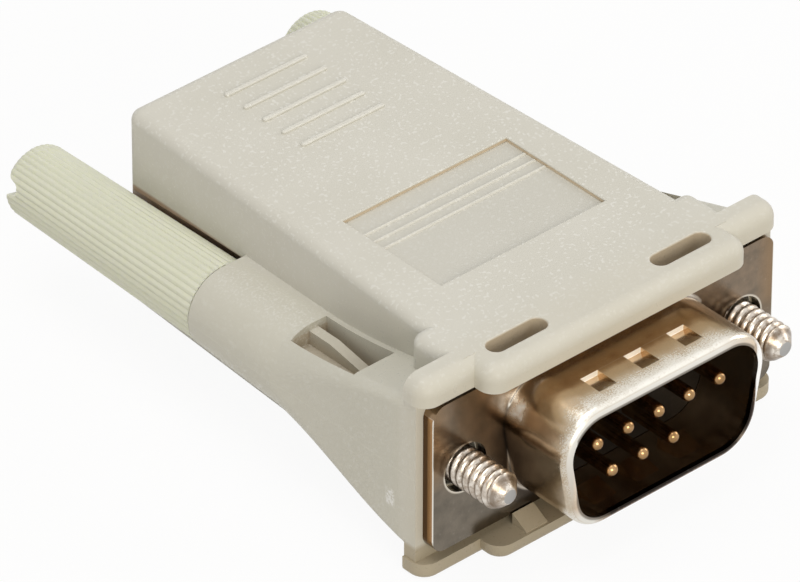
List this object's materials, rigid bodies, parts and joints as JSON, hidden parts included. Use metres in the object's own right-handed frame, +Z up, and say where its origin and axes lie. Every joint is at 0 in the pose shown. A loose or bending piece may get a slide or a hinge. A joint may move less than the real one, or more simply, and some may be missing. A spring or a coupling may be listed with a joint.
{
  "type": "ethernet to serial adapter",
  "caption": "Moulded adapter with a serial plug between thumbscrews at one end and a network jack at the other.",
  "frame": {"origin": "centre of the plug's flange face, midway between the jackscrews", "axes": "+X to the right seen from the plug, +Y from the plug back to the jack, +Z up with the wide side of the plug on top"},
  "size_m": [0.0324, 0.0508, 0.0162],
  "materials": {
    "housing": "fine spark texture, warm grey-beige",
    "knob_plastic": "smooth moulded, pale ivory",
    "plated_steel": "bright nickel plate on stamped sheet",
    "screw_steel": "nickel plate",
    "insulator": "moulded black",
    "gold": "gold plate",
    "jack": "moulded black",
    "lead_blue": "wire insulation",
    "lead_orange": "wire insulation",
    "lead_black": "wire insulation",
    "lead_red": "wire insulation",
    "lead_green": "wire insulation",
    "lead_yellow": "wire insulation",
    "lead_brown": "wire insulation",
    "lead_white": "wire insulation"
  },
  "bodies": {
    "housing": {"upper_shell": "housing", "lower_shell": "housing", "plug_front_shell": "plated_steel", "plug_rear_shell": "plated_steel", "plug_insulator": "insulator", "pin_1": "gold", "pin_2": "gold", "pin_3": "gold", "pin_4": "gold", "pin_5": "gold", "pin_6": "gold", "pin_7": "gold", "pin_8": "gold", "jack_body": "jack", "contact_carrier": "jack", "jack_contact_1": "gold", "jack_contact_2": "gold", "jack_contact_3": "gold", "jack_contact_4": "gold", "jack_contact_5": "gold", "jack_contact_6": "gold", "jack_contact_7": "gold", "jack_contact_8": "gold", "lead_1": "lead_blue", "lead_2": "lead_orange", "lead_3": "lead_black", "lead_4": "lead_red", "lead_5": "lead_green", "lead_6": "lead_yellow", "lead_7": "lead_brown", "lead_8": "lead_white"},
    "left_thumbscrew": {"left_screw": "screw_steel", "left_knob": "knob_plastic"},
    "right_thumbscrew": {"right_screw": "screw_steel", "right_knob": "knob_plastic"}
  },
  "joints": [
    {"name": "left_thumbscrew_turn", "type": "hinge", "parent": "housing", "child": "left_thumbscrew", "pos_m": [-0.01249, 0, 0], "axis": [0, 1, 0], "continuous": true},
    {"name": "right_thumbscrew_turn", "type": "hinge", "parent": "housing", "child": "right_thumbscrew", "pos_m": [0.01249, 0, 0], "axis": [0, 1, 0], "continuous": true}
  ]
}
